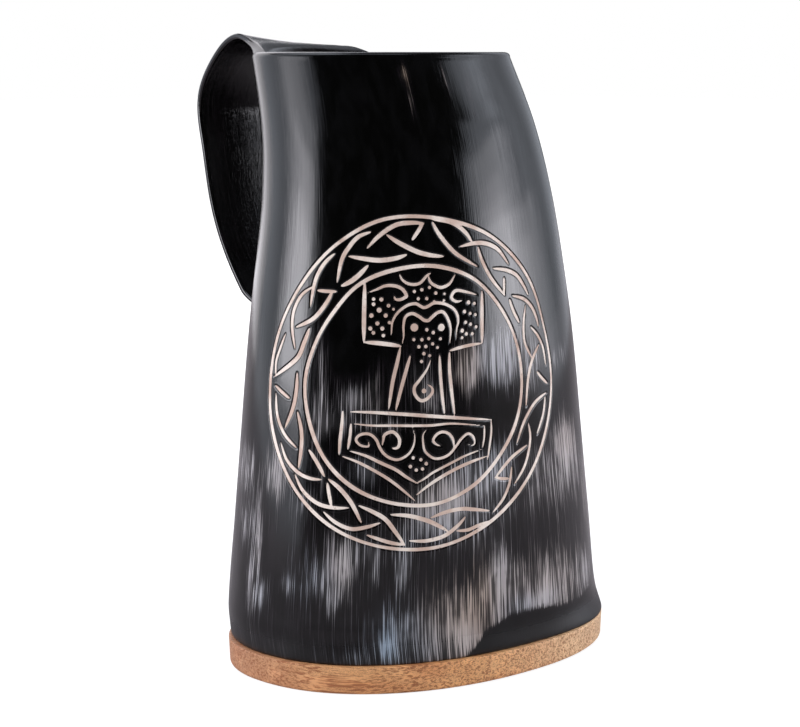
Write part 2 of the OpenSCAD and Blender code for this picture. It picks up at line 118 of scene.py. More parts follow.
# Open strokes: width in the middle, then the middle line from end to end
STROKE_CUTS = [
    (1.25, [(-.2, 114.8), (3.1, 118.2), (7.3, 120.8), (11.5, 121.3), (14.9, 121)]),
    (1.07, [(14.5, 121.3), (13.2, 119.2), (11.5, 116.8)]),
    (1.31, [(4.9, 118.3), (7.8, 116.4), (12.6, 114), (16.5, 112.9), (20.5, 112.4)]),
    (1.31, [(-4.9, 112.8), (-.9, 112.2), (3.2, 111.8), (7.4, 112.3), (10.3, 113.2)]),
    (1.31, [(.3, 110.6), (-1.9, 108.2), (-4.1, 106.4), (-6.7, 105.1)]),
    (1.19, [(1, 119.1), (-2.4, 117.8), (-4.7, 115.3), (-6.7, 111.8), (-7.8, 106)]),
    (1.2, [(17, 121.5), (18.6, 118.7), (21.4, 115.4), (24.7, 112.6), (31.1, 109.2)]),
    (1.2, [(17, 122), (22.5, 121.1), (26.5, 118.7), (29.2, 115.6)]),
    (1.21, [(25.1, 114.7), (29.7, 115.4), (33.9, 115.1), (38.2, 113.3), (42.5, 109.1)]),
    (1.09, [(31, 114.5), (32.5, 110.8), (36, 105.8), (41.2, 101)]),
    (.92, [(40.6, 105.9), (40.7, 103.7), (40.7, 101.1)]),
    (1.1, [(36.2, 108.5), (41.2, 107.8), (45.6, 106.2), (48.6, 103.5), (51.1, 100.4)]),
    (1.05, [(43.6, 100.9), (48.7, 99.7), (52.3, 97.4), (54.5, 94.5), (55.8, 91.5)]),
    (1.04, [(42.8, 100.1), (44.4, 96.9), (47, 93.4)]),
    (.93, [(49.7, 98), (48.8, 92.9), (49.4, 87.9), (52.9, 83.2)]),
    (.88, [(51.8, 92.1), (55.2, 89.4), (57.8, 85.8), (59.1, 80.8)]),
    (1.06, [(55.8, 87), (52.5, 82.9), (50.7, 78.1), (49.8, 70.9)]),
    (.88, [(54.7, 79.8), (57, 77.9), (59.8, 76)]),
    (.99, [(59.3, 73.7), (53.8, 71.7), (49.2, 67.4), (46, 61.6)]),
    (.88, [(58.6, 72.9), (57.6, 68.2), (54.5, 63)]),
    (.94, [(50.8, 66.6), (51.6, 62.1), (49.5, 55.8), (45.1, 50.9)]),
    (.99, [(50.5, 60.9), (44.8, 58.6), (41.4, 56.3), (38.1, 53.5)]),
    (.87, [(38, 53.7), (40.6, 53.1), (43.2, 52.8)]),
    (.93, [(44.2, 56), (43.4, 51.6), (41.1, 47.7), (37.4, 44.5)]),
    (1.1, [(18, 45.1), (22.4, 46.3), (27.1, 46.7), (31.4, 46.1), (36.7, 45.1)]),
    (1.1, [(28.6, 44.6), (26.3, 42.5), (22.3, 40.2), (17.3, 39.3), (12.3, 39.6)]),
    (1.22, [(7.2, 46.6), (12.1, 46.1), (17.1, 44.6), (20.4, 43), (23.3, 41.3)]),
    (.98, [(37.4, 42.5), (32.8, 41.8), (29.4, 41), (25.8, 41.1)]),
    (1.21, [(-1.1, 49.1), (3, 47.3), (6.2, 45.3), (8.9, 41.9), (11.5, 38.3)]),
    (1.03, [(1.2, 41.5), (5.1, 40.1), (8.1, 39.2), (11.4, 38.6)]),
    (1.09, [(-10.4, 47.2), (-7, 44.6), (-2.8, 43), (1.3, 43.5), (4.9, 44.6)]),
    (1.21, [(-9.2, 55.6), (-6, 53.3), (-2.8, 49.6), (-.1, 44.5)]),
    (1.09, [(-19.2, 56.1), (-16.5, 52.1), (-12.2, 49.2), (-7.8, 48.3), (-3.4, 48.4)]),
    (1.03, [(-9.4, 54.6), (-8.8, 51.6), (-8.1, 48.6)]),
    (1.03, [(-24.3, 63.7), (-22.1, 59.5), (-18.2, 56.6), (-14.4, 55.4), (-10.9, 55.3)]),
    (1.09, [(-15, 62.8), (-12.5, 59.7), (-10.2, 56.1)]),
    (1.21, [(-18.8, 72.3), (-17.4, 67.5), (-17.3, 62.9), (-18, 57.6)]),
    (.97, [(-26.5, 76.4), (-25.9, 70.8), (-23.1, 66), (-18.6, 62.7)]),
    (1.21, [(-19.1, 82.4), (-19.3, 77.5), (-20.4, 72.7), (-22.9, 67.6)]),
    (.91, [(-26.9, 78.3), (-24.1, 76.7), (-21.4, 75.3)]),
    (1.33, [(-15.4, 94), (-17, 90.2), (-19.5, 85.7), (-27.3, 80.5)]),
    (.79, [(-23.3, 92.2), (-25.2, 88.3), (-26.8, 84.3), (-26.7, 80.6)]),
    (1.02, [(-14.4, 104.8), (-18.2, 102.3), (-20.7, 98.1), (-21.1, 93.4), (-19.9, 88.1)]),
    (1.08, [(-8.5, 113.5), (-11.6, 110.6), (-14, 106.2), (-15.3, 99.4)]),
    (.96, [(-13.3, 103.8), (-10.5, 103.7), (-7.8, 103.7)]),
    (1.2, [(-8.9, 103.9), (-10.9, 100.3), (-14.5, 96.4), (-19.9, 93.9)]),
    (1.2, [(-.5, 106.3), (-.5, 101), (-.5, 96), (-.4, 90.7)]),
    (1.2, [(-.3, 90.9), (3, 90.7), (6.3, 90.3), (9.3, 89.8)]),
    (1.2, [(32.7, 103), (32.8, 98.2), (32.9, 93.7), (33, 89.1)]),
    (.91, [(33, 89.3), (29.1, 89.1), (25.4, 88.6), (22.6, 88)]),
    (1.07, [(9.1, 89.6), (8.3, 85.5), (7.2, 80.6), (6.3, 73.6)]),
    (1.02, [(11.8, 87.5), (10.7, 83.5), (9.3, 78.3), (8.1, 73.2)]),
    (.97, [(19.8, 87.3), (20.1, 82.7), (20.7, 77.1), (21.6, 71.5)]),
    (1.03, [(22.7, 87.9), (22.8, 83.4), (23.5, 77.8), (24.6, 71.1)]),
    (.96, [(.3, 103.5), (2.7, 104.4), (4.9, 105.3), (7.5, 105.2), (9.4, 104.3), (10.4, 102.8), (10.1, 102.3),
        (8.7, 101.7), (7.5, 101.9), (7.2, 102.8)]),
    (.91, [(31.2, 101.9), (28.1, 102.8), (24.7, 103.5), (23.3, 102.7), (23.2, 101.4), (24.7, 100.6),
        (26.4, 100.9)]),
    (.84, [(8.4, 108.3), (9.2, 106.8), (10.7, 105.8), (12.6, 105.5), (14.2, 106), (15.8, 107.7),
        (16.9, 108.3)]),
    (.91, [(16.1, 107.8), (16.9, 105.9), (18.7, 104.8), (20.3, 104.5), (22.4, 105.4), (24, 107.7)]),
    (.88, [(6.7, 91.2), (6.7, 93.9), (7, 96.4), (8.4, 98.6), (10.7, 100.2), (12.8, 100.6), (14.1, 100),
        (15.2, 99.5), (16.5, 99.9), (18.1, 100.6), (21, 100.2), (23.6, 98.9), (24.9, 97.2), (25.2, 95.3),
        (24.7, 93.2), (24.7, 90.5)]),
    (.93, [(9.5, 90.1), (9.9, 92.4), (9.8, 94.9), (10.3, 97.3), (12, 98.1), (13.7, 97.4), (15.3, 96.3),
        (16.5, 96.2), (17.5, 97), (19.1, 98.1), (20.7, 98.1), (22.1, 96.3), (22.9, 94), (22.9, 91.9),
        (22.6, 89.2)]),
    (.94, [(17.4, 86.2), (16.3, 83.6), (14.3, 80.9), (13, 79.2), (13.2, 77.3), (14.7, 75.7), (16.4, 76),
        (17.9, 77.5), (17.8, 78.8), (16.4, 79.8)]),
    (1, [(-4.1, 73.1), (2.9, 72.9), (11.6, 72.2), (20.9, 71.1), (27.6, 70.2), (36.8, 69)]),
    (.94, [(-5.6, 73.5), (-5.8, 69.7), (-6.2, 65.7), (-6.4, 61.8)]),
    (.72, [(36.5, 69.1), (36.6, 65.7), (36.1, 62.3), (35.4, 58.5)]),
    (.88, [(-5.8, 61.7), (-1.7, 60.3), (2.7, 58.1), (6.7, 55.7), (10.2, 53), (14, 49.7)]),
    (.94, [(35.3, 59.6), (30.7, 58.8), (25.9, 57.5), (21.3, 55.7), (17.5, 53.7), (13.9, 51.2)]),
    (.76, [(-3.4, 70.1), (1.5, 69.6), (7.3, 69.5), (12.3, 69.3), (17.8, 69.1), (24.2, 69.1), (34.5, 67.6)]),
    (.82, [(-3.4, 70.2), (-3.6, 66.9), (-4.1, 63.3)]),
    (.6, [(34.2, 67.8), (34.2, 64.8), (33.6, 61.8)]),
    (.94, [(-3.8, 63.1), (.6, 61.8), (4.7, 59.9), (8.5, 58.1), (11.5, 56), (14.4, 54.3)]),
    (.71, [(33.5, 61.6), (28.4, 60.5), (23.7, 58.9), (18.8, 57), (16.1, 55.4), (13.8, 54.3)]),
    (.82, [(1, 65.7), (1.3, 64.9), (1.1, 64.2), (-.8, 64.5), (-2, 65.8), (-1.3, 67), (.4, 67.5), (2, 67.1),
        (3.3, 65.8), (4.1, 64), (5.5, 62.1), (7.6, 60.9), (9.5, 60.8), (11.8, 62.1), (13, 64.1),
        (13.3, 66.3), (12.7, 68.9)]),
    (.94, [(4.7, 64.2), (5, 65.7), (5.4, 67.2), (7.3, 67.9), (8.7, 66.9), (9.3, 65.6), (9, 64), (8, 63.6),
        (7.4, 63.8)]),
    (.77, [(16.7, 68.2), (15.6, 66.9), (15.6, 64.8), (16.3, 62.4), (18.4, 60.7), (20.5, 60.4), (23.1, 61.2),
        (25.1, 63.1), (26.8, 65), (28.8, 66.1), (30.4, 65.3), (31, 63.9), (30.6, 63), (28.7, 63.3)]),
    (.82, [(24.5, 62.6), (24.5, 63.7), (24.1, 65.2), (22.9, 66.6), (21, 67.2), (19.3, 66.6), (18.4, 65.2),
        (19.3, 64.1), (20.7, 63.5)]),
]
# Drilled dots: place and radius
DOT_CUTS = [
    (12.7, 94.5, 1.07), (20.2, 94.2, .99), (15.6, 78.1, .68), (1.9, 101.9, .51), (3.9, 101.8, .59),
    (1.9, 100.6, .53), (5.8, 100.2, .53), (3.4, 99.1, .7), (7.1, 99.3, .42), (1.4, 97.7, .62), (5.1, 97.7, .59),
    (6.1, 95.9, .48), (3, 95.7, .59), (1.2, 94.4, .59), (4.3, 94.4, .59), (2, 93.3, .53), (4.6, 92.6, .51),
    (12.5, 103.7, .48), (14.5, 104.1, .51), (16.6, 104.6, .48), (18.4, 103.1, .51), (20.9, 102.8, .4),
    (13.6, 101.8, .48), (15.9, 101.8, .51), (18, 100.9, .45), (20.8, 101.1, .4), (28.3, 100.2, .6),
    (30.2, 99.8, .51), (27.1, 97.9, .54), (28.9, 97.3, .48), (30.6, 96.9, .49), (27.5, 95.1, .51),
    (29.1, 94.5, .49), (30.9, 93.7, .49), (26.5, 93, .57), (27.8, 92.1, .54), (29.7, 92, .51),
    (26.5, 91.2, .43), (16.1, 93.8, .51), (17.9, 93, .51), (12.6, 91.4, .48), (14.8, 91.3, .51),
    (16.7, 91.5, .48), (20, 91.3, .45), (14, 89.5, .51), (15.9, 89.5, .51), (17.8, 90.1, .48),
    (19.2, 89.1, .45), (15.4, 87.7, .51), (17, 87.1, .45), (14.8, 85.7, .48), (13, 61, .5), (15.1, 60.4, .5),
    (16.6, 59.3, .53), (12.3, 58.8, .53), (13.9, 57.8, .5), (15.6, 58, .5),
]
# Patches of pale fibres on the unrolled horn: (arc, height, reach across, reach up, how pale, how warm)
PALE_PATCHES = [
    (-12, 74, 2.5, 17, .42, .15), (-6, 76, 4, 5, .32, .1), (-2, 76, 2.5, 4, .5, .1), (3, 77, 2.5, 7, .42, .3),
    (4, 69.5, 10, 2.5, .36, .2), (-8, 70, 4, 4, .36, .1), (0, 58, 5, 4, .5, -.1), (-43, 55, 9, 7, .7, .15),
    (-26, 56, 4, 6, 1, .25), (-16, 49, 3.5, 4, .32, 0), (40, 85, 7, 7, 1.6, -.05),
    (28.5, 84, 3.5, 6.5, 1.2, .6), (29, 79, 1.5, 6, .6, .2), (18, 75, 4, 4, .55, .2), (14, 82, 6, 8, .3, .2),
    (52, 82, 4, 8, .65, 0), (66, 83, 6, 4, .55, .1), (70, 60, 5.5, 4.5, 1.6, .45), (68, 57, 9, 12, .6, .25),
    (41, 58, 5, 7, .55, -.1), (31, 55, 7, 6, 1, -.05), (21, 50, 8, 5.5, 1.05, .35), (20, 43, 8, 5, .75, -.1),
    (54, 51, 4.5, 7, .5, .2), (73, 51, 13, 6, .45, .2), (34, 45, 10, 8, .3, 0), (-37, 41, 5, 5, .65, .1),
    (-32, 39, 1.5, 10, .75, .2), (-35, 26, 1.5, 9, .75, .1), (-30, 23, 2.5, 4.5, .65, -.1),
    (-6, 33, 4, 9, .4, .2), (-5, 32.5, 2.2, 5, .85, .3), (-7, 24.5, 2, 4, .6, 0), (2, 37, 5, 5, .36, 0),
    (11, 32, 2.4, 6, .55, -.1), (4, 30, 1.5, 3, .4, 0), (-14, 30, 7, 6, .3, -.3), (-21, 27, 1.5, 3, .4, -.1),
    (-4, 9, 6, 3, .2, -.5), (10, 15, 6, 7, .6, -.5), (7.5, 12.5, 2, 4, .9, -1), (40, 30, 3.5, 5, .55, .1),
    (35, 24, 4, 7, .75, .85), (41, 25, 3, 9, .85, .2), (58, 22, 19, 8, .8, .4), (59, 18, 5, 3, .95, 0),
    (49, 18, 5, 3, .75, -.4), (83, 21, 6, 6, .55, .1), (31, 16, 5, 7, .8, .85), (23, 17, 7, 8, .6, .6),
    (30, 12, 4, 4, .9, .2), (18, 12, 6, 6, .45, -.2), (95, 44, 12, 14, .65, .4), (113, 66, 14, 12, .6, .1),
    (128, 28, 16, 9, .6, .6), (150, 56, 10, 16, .5, .2), (-62, 32, 10, 12, .55, .3), (-74, 64, 10, 10, .5, -.1),
    (-94, 44, 12, 14, .65, .5), (-114, 22, 12, 8, .5, .1), (-130, 60, 10, 12, .45, .3),
    (170, 24, 14, 8, .6, .3), (-100, 86, 6, 8, .4, 0), (100, 94, 6, 8, .4, .2),
    (13.8, 159.5, 1.3, 2.6, .42, 1.4), (14.2, 153, .9, 5, .3, .6), (25.5, 157.5, .9, 4, .36, .5),
    (33, 155, .9, 6, .34, .9),
]
# The pale fibres stay above this line: (arc, height)
DARK_FOOT = [
    (28, 6), (31, 8.2), (34, 10.8), (36, 13), (40, 14.5), (45, 16.2), (57, 16.2), (66, 14.8), (76, 14.2),
    (85, 15.5), (100, 13), (120, 9), (130, 5),
]

# ---- camera, lamps and floor, in metres
VIEW_AZIMUTH, VIEW_DOWN = -45.0, 7.889  # the camera's side of the cup, and how far it looks down
VIEW_FROM = (0.432503, -0.440271, 0.165)
LENS = 101.163
FLOOR_SIDE = 12000.0  # mm
FLOOR_REFLECTED = (0.30, 0.275, 0.285)
WORLD_LIGHT, WORLD_REFLECTED = 0.6, 0.02
LAMPS_FACE = (0, 0, 0.09)
WARM = (0.97, 0.95, 1.0)
COOL = (0.84, 0.89, 1.0)
# Lamps round the cup: name, two azimuths from the camera's side, two elevations, distance, radiance, colour
SOFTBOXES = [
    ("left_core", -87, -66, 0, 11, .86, 3.3, WARM),
    ("left_upper_core", -87, -64, 0, 17, .88, 2, WARM),
    ("left_middle", -93, -61, 0, 25, .93, 1.3, WARM),
    ("left_wide", -128, -59, -5, 36, 1, 1.1, COOL),
    ("right_core", 80, 100, 0, 10.5, .86, 1.6, WARM),
    ("right_core_middle", 79, 101, 0, 13.5, .87, 1, WARM),
    ("right_core_upper", 81, 99, 0, 17, .88, .8, WARM),
    ("right_low", 95, 112, -2, 6, .9, .8, WARM),
    ("right_low_wide", 95, 120, -3, 10, .91, .75, WARM),
    ("right_middle", 76, 106, 0, 23, .93, 1.2, WARM),
    ("right_wide", 72, 105, 0, 25, 1, 1.4, COOL),
    ("right_upper", 80, 107, 25, 30.5, 1, 1.4, COOL),
    ("right_top", 88, 109, 30.5, 43, 1, 1.4, COOL),
    ("right_edge", 105, 124, -4, 36, 1.05, .45, COOL),
    ("right_far", 104, 166, -4.3, 40, 1.1, .62, COOL),
    ("back_left", -176.5, -128, -4, 36, 1.2, 1.45, WARM),
    ("back_middle", 166, 182, 9, 42, 1.2, .2, COOL),
    ("back_high", -180, -125, 42, 70, 1.1, .45, COOL),
    ("top_box", -25, 25, 70, 88, 1.1, 1.2, COOL),
    ("top_left", -125, -70, 45, 80, 1.1, 1.5, COOL),
]


# ---- the horn and the strap as formulas
def mix(a, b, t):
    return a + (b - a) * t


def ease(t):
    t = np.clip(t, 0, 1)
    return t * t * (3 - 2 * t)


def joined(*axes):
    """Points from their X, Y and Z, or such rows of values, each part an array or one number."""
    return np.stack(np.broadcast_arrays(*axes), -1).astype(float)


def unit(vectors):
    return vectors / np.linalg.norm(vectors, axis=-1, keepdims=True)


def lengths(x, y):
    """How far along a line each of its points lies."""
    return np.concatenate([[0], np.cumsum(np.hypot(np.diff(x), np.diff(y)))])


def hermite(a, leave, b, arrive, q):
    """From a to b by the share q, with the given directions at the two ends."""
    return (a * (1 + 2 * q) * (1 - q) ** 2 + leave * q * (1 - q) ** 2
            + b * q ** 2 * (3 - 2 * q) + arrive * q ** 2 * (q - 1))


def smooth(table, t):
    """A smooth curve through a table of (place, value)."""
    x, y = np.array(table, float).T
    last = len(x) - 1
    lo, hi = np.maximum(np.arange(last + 1) - 1, 0), np.minimum(np.arange(last + 1) + 1, last)
    slope = (y[hi] - y[lo]) / (x[hi] - x[lo])
    i = np.clip(np.searchsorted(x, t, side="right") - 1, 0, last - 1)
    w = x[i + 1] - x[i]
    return hermite(y[i], slope[i] * w, y[i + 1], slope[i + 1] * w, (t - x[i]) / w)


def share_at(z):
    return (np.asarray(z, float) - BASE_H) / (CUP_H - BASE_H)


def half_wid(z):
    return mix(FOOT_WID, RIM_WID, smooth(NARROW, share_at(z))) / 2


def half_len(z):
    return mix(FOOT_LEN, RIM_LEN, smooth(NARROW, share_at(z))) / 2


def middle_x(z):
    return -LEAN * smooth(LEANS, share_at(z))


def wall_at(z):
    return mix(FOOT_WALL, RIM_WALL, share_at(z))


def squareness(z):
    return mix(*SQUARE, share_at(z))


def oval(angle, z, inset):
    """X and Y of the horn's surface at an angle and height, drawn in by inset."""
    c, s, n = np.cos(angle), np.sin(angle), squareness(z)
    return (middle_x(z) + (half_wid(z) - inset) * np.sign(c) * np.abs(c) ** (2 / n),
            (half_len(z) - inset) * np.sign(s) * np.abs(s) ** (2 / n))


def wall_x(y, z, inset):
    """X of the horn's surface on the handle's side."""
    n = squareness(z)
    q = np.clip(np.abs(y) / (half_len(z) - inset), 0, 1)
    return middle_x(z) - (half_wid(z) - inset) * (1 - q ** n) ** (1 / n)


def pad_x(z):
    return float(wall_x(0, z, 0)) - GLUE_GAP - STRAP_T / 2


ROOT_X = float(wall_x(0, CUP_H, RIM_WALL / 2))
FREE_X = float(wall_x(0, CUP_H, 0)) - REACH
POINTS = [(ROOT_X, CUP_H), (ROOT_X - BEND[0] * REACH, CUP_H + BEND[1] * RISE)]
POINTS += [(mix(pad_x(PAD_TOP), FREE_X, a), mix(CUP_H + RISE, PAD_TOP, b)) for a, b in STRAP]
POINTS += [(pad_x(mix(PAD_TOP, STRAP_END_Z, t)), mix(PAD_TOP, STRAP_END_Z, t)) for t in PAD]
POINTS = np.array(POINTS)


def strap_path(samples=1400):
    """The strap's middle line: a uniform cubic B-spline that starts and ends at its end points."""
    ends = np.vstack([2 * POINTS[0] - POINTS[1], POINTS, 2 * POINTS[-1] - POINTS[-2]])
    spans = len(POINTS) - 1
    t = np.linspace(0, spans, samples + 1)
    i = np.minimum(t.astype(int), spans - 1)
    q = (t - i)[:, None]
    return ((1 - q) ** 3 * ends[i] + (3 * q ** 3 - 6 * q ** 2 + 4) * ends[i + 1]
            + (3 * q ** 2 - 3 * q ** 3 + 3 * q + 1) * ends[i + 2] + q ** 3 * ends[i + 3]) / 6


PATH = strap_path()
RUNS = lengths(*PATH.T)
STRAP_LEN = float(RUNS[-1])


def strap_at(run):
    return np.interp(run, RUNS, PATH[:, 0]), np.interp(run, RUNS, PATH[:, 1])


def foot_hold(run):
    """How much the strap keeps to the wall: 0 on its free run, 1 on its glued end."""
    return ease((run - (STRAP_LEN - PAD_LEN - FOOT_BLEND)) / FOOT_BLEND)


def strap_normal(run):
    """Across the strap, from the line between the points 1 mm back and 1 mm ahead."""
    ax, az = strap_at(np.maximum(run - 1, 0))
    bx, bz = strap_at(np.minimum(run + 1, STRAP_LEN))
    d = np.hypot(bx - ax, bz - az)
    a, f = ease(run / ROOT_TURN), foot_hold(run)
    nx = mix(mix(1, (bz - az) / d, a), -1, f)
    nz = mix(mix(0, -(bx - ax) / d, a), 0, f)
    d = np.hypot(nx, nz)
    return nx / d, nz / d


def strap_half(run, y):
    """Width of the strap from its middle to the edge on y's side."""
    run = np.asarray(run, float)
    radius = np.where(np.asarray(y) < 0, NEAR_SWEEP, FAR_SWEEP)
    r = np.clip(radius - run, 0, radius)
    sweep = radius - np.sqrt(radius ** 2 - r ** 2)
    t = np.clip((run - (STRAP_LEN - TIP * PAD_LEN)) / (TIP * PAD_LEN), 0, 1)
    plain = mix(STRAP_WID, STRAP_FOOT_WID, ease(run / STRAP_LEN)) / 2
    return (plain + sweep) * mix(TIP_WID, 1, np.sqrt(1 - t ** 2))


def strap_thick(run):
    t = (run - (STRAP_LEN - (1 - BEVEL) * PAD_LEN)) / ((1 - BEVEL) * PAD_LEN)
    return mix(STRAP_T, STRAP_TIP_T, np.maximum(t, 0))


def strap_point(y, run, face):
    """A point on the strap's underside (face 0) or upper side (face 1)."""
    u = y / strap_half(run, y)
    px, pz = strap_at(run)
    t = strap_thick(run)
    edge = mix(t, np.minimum(t, STRAP_EDGE_T), u ** 2) / 2
    k, f = 1 - ease(run / ROOT_BLEND), foot_hold(run)
    bow = DISH * u ** 2 - CANT * u * (1 - f)
    root_in = wall_x(y, CUP_H, 0) - ROOT_X
    root_out = wall_x(y, CUP_H, RIM_WALL) - ROOT_X
    half = mix((root_out - root_in) / 2, edge, ease(run / ROOT_TURN))
    pad_in = px - (wall_x(y, pz, 0) - GLUE_GAP)
    d = mix(bow * (1 - k) + (2 * face - 1) * half, pad_in + 2 * half * face, f)
    nx, nz = strap_normal(run)
    return joined(px + k * (root_in + root_out) / 2 + nx * d, y, pz + nz * d)


def skin_point(y, run, face):
    """The horn's skin on the handle's side: below run 0 it is the wall, above it is the strap."""
    inset = 0 if face == 0 else RIM_WALL
    if run >= TURN_HIGH:
        return strap_point(y, run, face)
    low_z = CUP_H + TURN_LOW
    wall = joined(wall_x(y, low_z, inset), y, low_z)
    strap = strap_point(y, TURN_HIGH, face)
    size = np.linalg.norm(strap - wall, axis=-1, keepdims=True) * TURN_PULL
    up = unit(joined(wall_x(y, low_z + 1, inset), y, low_z + 1) - wall) * size
    on = unit(strap_point(y, TURN_HIGH + 0.5, face) - strap) * size
    bend = hermite(wall, up, strap, on, (run - TURN_LOW) / (TURN_HIGH - TURN_LOW))
    straight = joined(wall_x(y, min(CUP_H + run, CUP_H), inset), y, CUP_H + run)
    side = ease((np.abs(y) / strap_half(0, y) - TURN_SIDE) / (1 - TURN_SIDE))[..., None]
    return mix(bend, straight, side * (1 - ease((run + LIP_R) / TURN_RISE)))


# ---- mesh helpers
def show(name, data):
    obj = bpy.data.objects.new(name, data)
    bpy.context.scene.collection.objects.link(obj)
    return obj


def make_object(name, points, faces, smooth_angle=None):
    """A mesh object from points in mm."""
    mesh = bpy.data.meshes.new(name)
    mesh.from_pydata((np.asarray(points, float) * MM).tolist(), [], [tuple(map(int, f)) for f in faces])
    mesh.validate()
    mesh.update()
    mesh.polygons.foreach_set("use_smooth", [True] * len(mesh.polygons))
    if smooth_angle is not None:
        mesh.set_sharp_from_angle(angle=math.radians(smooth_angle))
    return show(name, mesh)


def store(layer, key, values):
    layer.data.foreach_set(key, np.vstack(values).astype(np.float32).ravel())


def bands(rows, closed=True):
    """Quads between each row of vertex numbers and the next."""
    rows = np.asarray(rows)
    count = rows.shape[1]
    return [(a[j], a[(j + 1) % count], b[(j + 1) % count], b[j])
            for a, b in zip(rows, rows[1:]) for j in range(count if closed else count - 1)]


def tube(rings, first=0):
    """Points and faces of a closed solid through rings of points, with flat ends."""
    count, around = len(rings), len(rings[0])
    ids = first + np.arange(count * around).reshape(count, around)
    low, high = ids[-1, -1] + 1, ids[-1, -1] + 2
    faces = bands(ids)
    faces += [(ids[0, (j + 1) % around], ids[0, j], low) for j in range(around)]
    faces += [(ids[-1, j], ids[-1, (j + 1) % around], high) for j in range(around)]
    return np.vstack([*rings, rings[0].mean(0), rings[-1].mean(0)]), faces


# ---- columns and rows of the horn's skin
zone_u, zone_z = (np.linspace(a, b, int(round((b - a) / CELL)) + 1) for a, b in (ZONE_U, ZONE_Z))
zone_start = np.array([zone_u[0], zone_z[0]])
zone_step = np.array([zone_u[1] - zone_u[0], zone_z[1] - zone_z[0]])
across = np.linspace(1, -1, STRAP_COLS + 1)
top_z = CUP_H - LIP_R


def strap_angles(inset):
    """The angles at which the strap's columns leave the wall's top."""
    y = across * strap_half(0, across)
    b = half_len(top_z) - inset
    return -math.pi - np.arcsin(np.sign(y) * (np.abs(y) / b) ** (squareness(top_z) / 2))


outer_strap, inner_strap = strap_angles(0), strap_angles(RIM_WALL)
spin = np.linspace(outer_strap[0] - 0.3, outer_strap[0] - 0.3 + 2 * math.pi, SPIN_STEPS + 1)


def arcs(z):
    """The unrolled places of spin's angles at one height."""
    arc = lengths(*oval(spin, z, 0))
    return arc - np.interp(REF_ANGLE, spin, arc)


def column_angles(z, strap):
    zone = np.interp(zone_u, arcs(z), spin)
    before = np.linspace(strap[-1], zone[0], COLS_BEFORE + 2)[1:-1]
    after = np.linspace(zone[-1], strap[0] + 2 * math.pi, COLS_AFTER + 2)[1:-1]
    return np.concatenate([strap, before, zone, after])


foot_z = [BASE_H + z for z, _ in FOOT_ROWS]
low_z = np.linspace(foot_z[-1], zone_z[0], 30)[1:-1]
high_z = np.linspace(zone_z[-1], top_z, 36)[1:]
outer_z = [*foot_z, *low_z, *zone_z, *high_z]
outer_inset = [inset for _, inset in FOOT_ROWS] + [0.0] * (len(outer_z) - len(FOOT_ROWS))
zone_row, zone_col = len(foot_z) + len(low_z), STRAP_COLS + 1 + COLS_BEFORE


def away(angle, middle):
    return np.abs(np.angle(np.exp(1j * (angle - middle))))


def wander(angle, z):
    """The hand-worked surface's slow waves, in mm outwards."""
    wave = sum(size * np.sin(turns * angle + climb * z + start) for size, turns, climb, start in WAVES)
    still = ease((z - BASE_H) / CALM_FOOT) * ease((CUP_H - CALM_TOP - z) / CALM_RIM)
    still = still * ease((away(angle, math.pi) - CALM_STRAP) / CALM_SIDE)
    return wave * still


def trimmed(angle, z):
    """How far the horn's front is trimmed back above the wood, in mm."""
    front = ease((math.radians(TRIM_TO) - away(angle, REF_ANGLE)) / math.radians(TRIM_TO - TRIM_FROM))
    return TRIM * np.clip((BASE_H + TRIM_H - z) / TRIM_H, 0, 1) ** 1.6 * front


def fibre_at(angle, z):
    """Where a point lies among the horn's fibres, which run up and down a plain round of one radius."""
    return joined(FIBRE_R * np.cos(angle), FIBRE_R * np.sin(angle), z)


def skin_rows(heights, insets, strap, face):
    """Rows of points of one side of the wall, and where each lies among the fibres."""
    rows, along = [], []
    for z, inset in zip(heights, insets):
        angle = column_angles(z, strap)
        row = joined(*oval(angle, z, inset + (trimmed(angle, z) - wander(angle, z)) * (1 - face)), z)
        if z - CUP_H > TURN_LOW:
            row[:STRAP_COLS + 1] = skin_point(row[:STRAP_COLS + 1, 1], z - CUP_H, face)
        rows.append(row)
        along.append(fibre_at(angle, z))
    return np.array(rows), np.array(along)


outer, outer_fibres = skin_rows(outer_z, outer_inset, outer_strap, 0)
inner_z = [*np.linspace(BASE_H, top_z - 3, 26), top_z - 1.8, top_z - 0.8, top_z]
inner, inner_fibres = skin_rows(inner_z, [float(wall_at(z)) for z in inner_z], inner_strap, 1)

# ---- how deep the roundel is cut, point by point
zone = (slice(zone_row, zone_row + len(zone_z)), slice(zone_col, zone_col + len(zone_u)))
ground = outer[zone].copy()
far = np.full(ground.shape[:2], 9.0)  # mm from the nearest cut's edge, less than 0 inside a cut


def on_zone(line):
    """Points on the horn under unrolled places."""
    f = np.clip((line - zone_start) / zone_step, 0, (len(zone_u) - 1.001, len(zone_z) - 1.001))
    j, i = f.astype(int).T
    b, a = (f - f.astype(int)).T[..., None]
    g = ground
    return mix(mix(g[i, j], g[i, j + 1], b), mix(g[i + 1, j], g[i + 1, j + 1], b), a)


def flowing(points, closed, steps):
    """A smooth line through points."""
    p = np.array(points, float)
    n = len(p)
    out = []
    for i in range(n if closed else n - 1):
        if closed:
            a, b, c, d = (p[(i + k) % n] for k in (-1, 0, 1, 2))
        else:
            a, b, c, d = p[max(i - 1, 0)], p[i], p[i + 1], p[min(i + 2, n - 1)]
        t = np.linspace(0, 1, steps, endpoint=False)[:, None]
        out.append((2 * b + (c - a) * t + (2 * a - 5 * b + 4 * c - d) * t ** 2
                    + (3 * b - a - 3 * c + d) * t ** 3) / 2)
    out.append(p[:1] if closed else p[-1:])
    return np.vstack(out)


